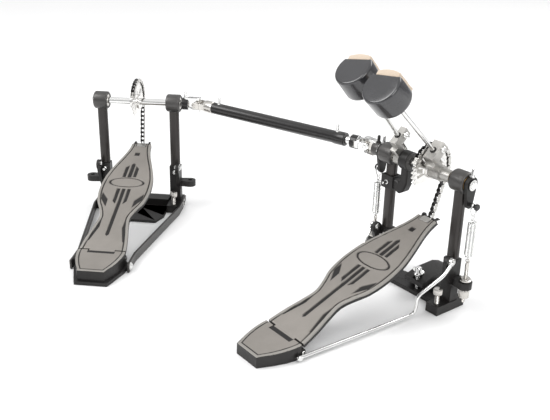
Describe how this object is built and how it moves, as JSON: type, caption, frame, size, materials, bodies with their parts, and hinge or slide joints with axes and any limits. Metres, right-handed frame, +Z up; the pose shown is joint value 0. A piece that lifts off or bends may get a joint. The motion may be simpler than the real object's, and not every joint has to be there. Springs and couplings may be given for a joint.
{
  "type": "bass drum pedal",
  "caption": "Twin bass drum pedal: drum-side and outrigger foot pedals with chain drive, sprung axles, two beaters and a telescopic shaft with universal joints.",
  "frame": {"origin": "on the floor under the drum-side axle, midway between its two posts", "axes": "+X along the drum-side axle away from the outrigger, +Y towards the drum, +Z up"},
  "size_m": [0.6103, 0.4181, 0.3165],
  "materials": {
    "chrome": "bright plated steel",
    "steel": "plain steel",
    "black_metal": "satin black powder coat",
    "black_cast": "black painted casting",
    "board_grey": "grey painted casting, black rim groove and underside",
    "cast_bright": "polished casting",
    "chain_steel": "black roller chain with bright outer plates",
    "head_plastic": "dark grey moulded plastic",
    "felt": "tan pressed felt"
  },
  "bodies": {
    "drum_frame": {"base_bridge": "black_cast", "left_foot": "black_cast", "right_foot": "black_cast", "left_post": "black_metal", "right_post": "black_metal", "offset_bearing_arm": "black_cast", "heel_block": "black_cast", "heel_hinge_pin": "steel", "left_radius_rod": "steel", "right_radius_rod": "steel"},
    "hoop_clamp_jaw": {"hoop_clamp_jaw": "black_cast"},
    "hoop_clamp_bolt": {"hoop_clamp_bolt": "steel"},
    "left_anchor_screw": {"left_anchor_screw": "steel"},
    "right_anchor_screw": {"right_anchor_screw": "steel"},
    "right_axle": {"right_axle": "chrome", "sprocket": "cast_bright", "chain_wrap": "chain_steel", "right_beater_holder": "cast_bright", "right_spring_cam": "black_cast"},
    "chain_feed": {"chain_feed": "chain_steel"},
    "footboard": {"footboard": "board_grey"},
    "chain_run": {"chain_run": "chain_steel"},
    "right_spring_anchor": {"right_eye_bolt": "steel"},
    "right_spring": {"right_spring": "chrome", "right_spring_link": "chrome"},
    "right_beater_rod": {"right_beater_rod": "chrome"},
    "right_beater_head": {"right_beater_head": "head_plastic", "right_beater_felt": "felt"},
    "left_axle": {"left_axle": "chrome", "left_beater_holder": "cast_bright", "left_spring_cam": "black_cast"},
    "left_spring_anchor": {"left_eye_bolt": "steel"},
    "left_spring": {"left_spring": "chrome", "left_spring_link": "chrome"},
    "left_beater_rod": {"left_beater_rod": "chrome"},
    "left_beater_head": {"left_beater_head": "head_plastic", "left_beater_felt": "felt"},
    "drum_joint_cross": {"drum_joint_cross": "steel"},
    "drive_shaft_rod": {"drive_shaft_rod": "chrome"},
    "outrigger_frame": {"outrigger_base_plate": "black_metal", "outrigger_left_foot": "black_cast", "outrigger_right_foot": "black_cast", "outrigger_left_post": "black_metal", "outrigger_right_post": "black_metal", "outrigger_left_side_bar": "black_metal", "outrigger_right_side_bar": "black_metal", "outrigger_heel_block": "black_cast", "outrigger_heel_hinge_pin": "steel"},
    "outrigger_left_anchor_screw": {"outrigger_left_anchor_screw": "steel"},
    "outrigger_right_anchor_screw": {"outrigger_right_anchor_screw": "steel"},
    "drive_shaft_tube": {"drive_shaft_tube": "black_metal"},
    "outrigger_joint_cross": {"outrigger_joint_cross": "steel"},
    "outrigger_axle": {"outrigger_axle": "chrome", "outrigger_sprocket": "cast_bright", "outrigger_chain_wrap": "chain_steel"},
    "outrigger_chain_feed": {"outrigger_chain_feed": "chain_steel"},
    "outrigger_footboard": {"outrigger_footboard": "board_grey"},
    "outrigger_chain_run": {"outrigger_chain_run": "chain_steel"}
  },
  "joints": [
    {"name": "right_axle_turn", "type": "hinge", "parent": "drum_frame", "child": "right_axle", "pos_m": [0, 0, 0.172], "axis": [-1, 0, 0], "range_deg": [0, 45], "stiffness_Nm_per_rad": 1.6, "springref_deg": -34.38},
    {"name": "chain_feed_turn", "type": "hinge", "parent": "right_axle", "child": "chain_feed", "pos_m": [0.007, 0.02923, 0.18595], "axis": [1, 0, 0], "range_deg": [0, 33.67]},
    {"name": "footboard_hinge", "type": "hinge", "parent": "drum_frame", "child": "footboard", "pos_m": [0.007, -0.225, 0.0075], "axis": [-1, 0, 0], "range_deg": [0, 6.69]},
    {"name": "chain_run_turn", "type": "hinge", "parent": "footboard", "child": "chain_run", "pos_m": [0.007, 0.00961, 0.10205], "axis": [1, 0, 0], "range_deg": [0, 17.49]},
    {"name": "right_spring_tilt", "type": "hinge", "parent": "drum_frame", "child": "right_spring_anchor", "pos_m": [0.08, 0, 0.042], "axis": [1, 0, 0], "range_deg": [0, 9.42]},
    {"name": "right_spring_stretch", "type": "slide", "parent": "right_spring_anchor", "child": "right_spring", "axis": [0, 0, 1], "range_m": [0, 0.0089], "deforming": ["right_spring"]},
    {"name": "right_beater_slide", "type": "slide", "parent": "right_axle", "child": "right_beater_rod", "axis": [0, -0.7193, 0.6947], "range_m": [-0.012, 0.03]},
    {"name": "right_beater_turn", "type": "hinge", "parent": "right_beater_rod", "child": "right_beater_head", "pos_m": [0.0193, 0.00938, 0.18171], "axis": [0, -0.7193, 0.6947], "continuous": true},
    {"name": "left_axle_turn", "type": "hinge", "parent": "drum_frame", "child": "left_axle", "pos_m": [0, 0, 0.172], "axis": [-1, 0, 0], "range_deg": [0, 45], "stiffness_Nm_per_rad": 1.6, "springref_deg": -34.38},
    {"name": "left_spring_tilt", "type": "hinge", "parent": "drum_frame", "child": "left_spring_anchor", "pos_m": [-0.08, 0, 0.042], "axis": [1, 0, 0], "range_deg": [0, 9.42]},
    {"name": "left_spring_stretch", "type": "slide", "parent": "left_spring_anchor", "child": "left_spring", "axis": [0, 0, 1], "range_m": [0, 0.0089], "deforming": ["left_spring"]},
    {"name": "left_beater_slide", "type": "slide", "parent": "left_axle", "child": "left_beater_rod", "axis": [0, -0.6561, 0.7547], "range_m": [-0.012, 0.03]},
    {"name": "left_beater_turn", "type": "hinge", "parent": "left_beater_rod", "child": "left_beater_head", "pos_m": [-0.0426, 0.01019, 0.18086], "axis": [0, -0.6561, 0.7547], "continuous": true},
    {"name": "drive_shaft_rod_spin", "type": "hinge", "parent": "drum_frame", "child": "drive_shaft_rod", "pos_m": [-0.104, 0, 0.172], "axis": [-0.9603, -0.279, 0], "range_deg": [0, 43.74]},
    {"name": "drum_cross_rock", "type": "hinge", "parent": "left_axle", "child": "drum_joint_cross", "pos_m": [-0.104, 0, 0.172], "axis": [0, 0, -1], "range_deg": [0, 3.87]},
    {"name": "outrigger_slide", "type": "slide", "parent": "drum_frame", "child": "outrigger_frame", "axis": [-0.9603, -0.279, 0], "range_m": [-0.004, 0.08]},
    {"name": "drive_shaft_tube_spin", "type": "hinge", "parent": "outrigger_frame", "child": "drive_shaft_tube", "pos_m": [-0.39113, -0.08342, 0.172], "axis": [-0.9603, -0.279, 0], "range_deg": [0, 43.74]},
    {"name": "outrigger_axle_turn", "type": "hinge", "parent": "outrigger_frame", "child": "outrigger_axle", "pos_m": [-0.45688, -0.15199, 0.172], "axis": [-0.6921, -0.7218, 0], "range_deg": [0, 48.47]},
    {"name": "outrigger_cross_rock", "type": "hinge", "parent": "outrigger_axle", "child": "outrigger_joint_cross", "pos_m": [-0.39113, -0.08342, 0.172], "axis": [0, 0, 1], "range_deg": [0, 7.44]},
    {"name": "outrigger_feed_turn", "type": "hinge", "parent": "outrigger_axle", "child": "outrigger_chain_feed", "pos_m": [-0.47616, -0.1335, 0.19032], "axis": [0.6921, 0.7218, 0], "range_deg": [0, 25.71]},
    {"name": "outrigger_footboard_hinge", "type": "hinge", "parent": "outrigger_frame", "child": "outrigger_footboard", "pos_m": [-0.29809, -0.30426, 0.013], "axis": [-0.6921, -0.7218, 0], "range_deg": [0, 6.61]},
    {"name": "outrigger_run_turn", "type": "hinge", "parent": "outrigger_footboard", "child": "outrigger_chain_run", "pos_m": [-0.47033, -0.13909, 0.09523], "axis": [0.6921, 0.7218, 0], "range_deg": [0, 15.03]},
    {"name": "hoop_clamp_hinge", "type": "hinge", "parent": "drum_frame", "child": "hoop_clamp_jaw", "pos_m": [0.008, 0.012, 0.017], "axis": [1, 0, 0], "range_deg": [0, 8]},
    {"name": "hoop_clamp_bolt_turn", "type": "hinge", "parent": "drum_frame", "child": "hoop_clamp_bolt", "pos_m": [0.008, -0.004, 0.02], "axis": [0, 0, 1], "continuous": true},
    {"name": "right_anchor_screw_turn", "type": "hinge", "parent": "drum_frame", "child": "right_anchor_screw", "pos_m": [0.057, -0.021, 0.02], "axis": [0, 0, 1], "continuous": true},
    {"name": "outrigger_right_anchor_turn", "type": "hinge", "parent": "outrigger_frame", "child": "outrigger_right_anchor_screw", "pos_m": [-0.40227, -0.12538, 0.02], "axis": [0, 0, 1], "continuous": true},
    {"name": "left_anchor_screw_turn", "type": "hinge", "parent": "drum_frame", "child": "left_anchor_screw", "pos_m": [-0.057, -0.021, 0.02], "axis": [0, 0, 1], "continuous": true},
    {"name": "outrigger_left_anchor_turn", "type": "hinge", "parent": "outrigger_frame", "child": "outrigger_left_anchor_screw", "pos_m": [-0.48118, -0.20766, 0.02], "axis": [0, 0, 1], "continuous": true}
  ],
  "couplings": [
    {"joint": "chain_feed_turn", "follows": "right_axle_turn", "ratio": 0.7471},
    {"joint": "footboard_hinge", "follows": "right_axle_turn", "ratio": 0.1475},
    {"joint": "chain_run_turn", "follows": "right_axle_turn", "ratio": 0.3875},
    {"joint": "right_spring_tilt", "follows": "right_axle_turn", "ratio": 0.20827},
    {"joint": "right_spring_stretch", "follows": "right_axle_turn", "m_per_rad": 0.0112},
    {"joint": "left_spring_tilt", "follows": "left_axle_turn", "ratio": 0.20827},
    {"joint": "left_spring_stretch", "follows": "left_axle_turn", "m_per_rad": 0.0112},
    {"joint": "drive_shaft_rod_spin", "follows": "left_axle_turn", "ratio": 0.9708},
    {"joint": "drum_cross_rock", "follows": "left_axle_turn", "ratio": 0.0848},
    {"joint": "drive_shaft_tube_spin", "follows": "left_axle_turn", "ratio": 0.9708},
    {"joint": "outrigger_axle_turn", "follows": "left_axle_turn", "ratio": 1.0759},
    {"joint": "outrigger_cross_rock", "follows": "left_axle_turn", "ratio": 0.1643},
    {"joint": "outrigger_feed_turn", "follows": "left_axle_turn", "ratio": 0.5702},
    {"joint": "outrigger_footboard_hinge", "follows": "left_axle_turn", "ratio": 0.1457},
    {"joint": "outrigger_run_turn", "follows": "left_axle_turn", "ratio": 0.3328}
  ]
}
